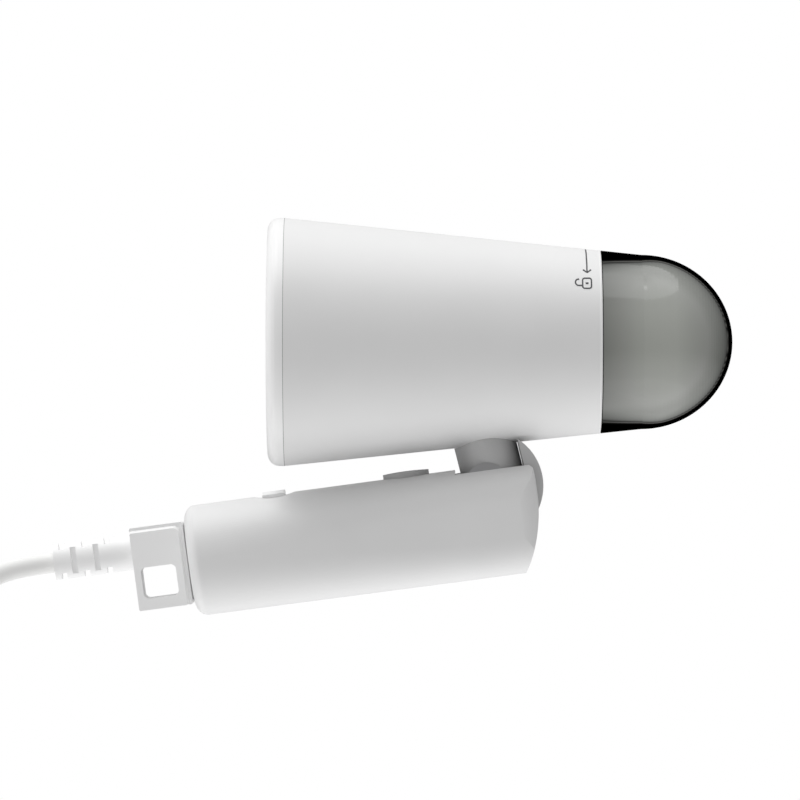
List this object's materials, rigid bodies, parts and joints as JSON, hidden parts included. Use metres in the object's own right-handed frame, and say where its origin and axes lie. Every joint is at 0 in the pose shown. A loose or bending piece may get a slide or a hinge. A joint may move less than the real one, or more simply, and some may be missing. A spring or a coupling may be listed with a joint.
{
  "type": "handheld garment steamer",
  "caption": "Folding handheld garment steamer with a round tapered head, clear water tank, cylindrical grip, trigger and mains cord.",
  "frame": {"origin": "middle of the grip, on the handle's centreline", "axes": "+X along the head from the steam plate to the water tank, +Z from the handle to the head, +Y across the appliance"},
  "size_m": [0.36, 0.0972, 0.273],
  "materials": {
    "shell_white": "satin",
    "trim_light_grey": "satin",
    "trim_mid_grey": "satin",
    "clear_smoke": "gloss",
    "indicator_amber": "gloss",
    "inner_black": "matte",
    "board_green": "satin",
    "screw_steel": "satin",
    "plate_metal": "satin",
    "cast_aluminium": "cast",
    "seal_rubber": "matte",
    "hose_silicone": "satin",
    "inner_white": "satin",
    "coil_brown": "satin",
    "wire_red": "satin",
    "cord_white": "satin",
    "tie_black": "matte",
    "pin_metal": "gloss"
  },
  "bodies": {
    "handle": {"handle_shell_left": "shell_white", "handle_shell_right": "shell_white", "handle_end_cap": "shell_white", "handle_screws": "screw_steel", "cord_exit_block": "trim_light_grey", "strain_relief": "trim_light_grey", "cord_clamp": "inner_black", "cord_clamp_screws": "screw_steel", "control_board": "board_green", "trigger_microswitch": "inner_black", "power_microswitch": "inner_black", "handle_wires": "wire_red", "indicator_lens": "indicator_amber", "hinge_pin": "screw_steel", "hinge_washers": "screw_steel", "trigger_spring": "screw_steel", "power_spring": "screw_steel", "power_cord": "cord_white", "cord_tail": "cord_white", "cord_coil": "cord_white", "cord_tie": "tie_black", "plug_body": "cord_white", "plug_pins": "pin_metal", "plug_earth_contacts": "pin_metal"},
    "head": {"neck": "trim_mid_grey", "hinge_bushes": "inner_black", "hinge_cover": "trim_mid_grey", "head_shell": "shell_white", "front_bezel": "shell_white", "steam_plate": "plate_metal", "plate_gasket": "seal_rubber", "boiler_body": "cast_aluminium", "boiler_cover": "cast_aluminium", "boiler_screws": "screw_steel", "heating_element": "screw_steel", "boiler_carrier": "inner_black", "thermostat": "screw_steel", "thermal_fuse": "inner_white", "heat_shield": "screw_steel", "pump_body": "inner_white", "pump_coil": "coil_brown", "pump_yoke": "screw_steel", "pump_mounts": "seal_rubber", "inlet_hose": "hose_silicone", "outlet_hose": "hose_silicone", "tank_socket": "trim_light_grey", "socket_screws": "screw_steel", "head_wires": "wire_red"},
    "tank": {"tank_base": "trim_light_grey", "tank_shell": "clear_smoke", "filler_stopper": "seal_rubber", "dip_hose": "hose_silicone", "inlet_strainer": "screw_steel"},
    "trigger": {"trigger_button": "trim_mid_grey"},
    "power_switch": {"power_button": "trim_light_grey"},
    "plunger": {"pump_plunger": "screw_steel"},
    "seal_ring": {"tank_seal_ring": "seal_rubber"},
    "valve": {"valve_poppet": "inner_white"}
  },
  "joints": [
    {"name": "head_fold", "type": "hinge", "parent": "handle", "child": "head", "pos_m": [0.04294, 0, 0.01844], "axis": [0, 1, 0], "range_deg": [0, 88]},
    {"name": "trigger_press", "type": "slide", "parent": "handle", "child": "trigger", "axis": [0.1323, 0, -0.9912], "range_m": [0, 0.0015], "stiffness_N_per_m": 600, "springref_m": -0.003, "deforming": ["trigger_spring"]},
    {"name": "power_press", "type": "slide", "parent": "handle", "child": "power_switch", "axis": [0.1323, 0, -0.9912], "range_m": [0, 0.0012], "stiffness_N_per_m": 600, "springref_m": -0.003, "deforming": ["power_spring"]},
    {"name": "pump_stroke", "type": "slide", "parent": "head", "child": "plunger", "axis": [1, 0, 0], "range_m": [0, 0.004], "stiffness_N_per_m": 300, "springref_m": -0.002},
    {"name": "tank_slide", "type": "slide", "parent": "head", "child": "seal_ring", "axis": [1, 0, 0], "range_m": [0, 0.015]},
    {"name": "tank_twist", "type": "hinge", "parent": "seal_ring", "child": "tank", "pos_m": [0.08244, 0, 0.06864], "axis": [1, 0, 0], "range_deg": [0, 60]},
    {"name": "valve_lift", "type": "slide", "parent": "tank", "child": "valve", "axis": [1, 0, 0], "range_m": [0, 0.002], "stiffness_N_per_m": 300, "springref_m": -0.002}
  ],
  "couplings": [
    {"joint": "tank_slide", "follows": "tank_twist", "m_per_rad": 0.014324}
  ]
}
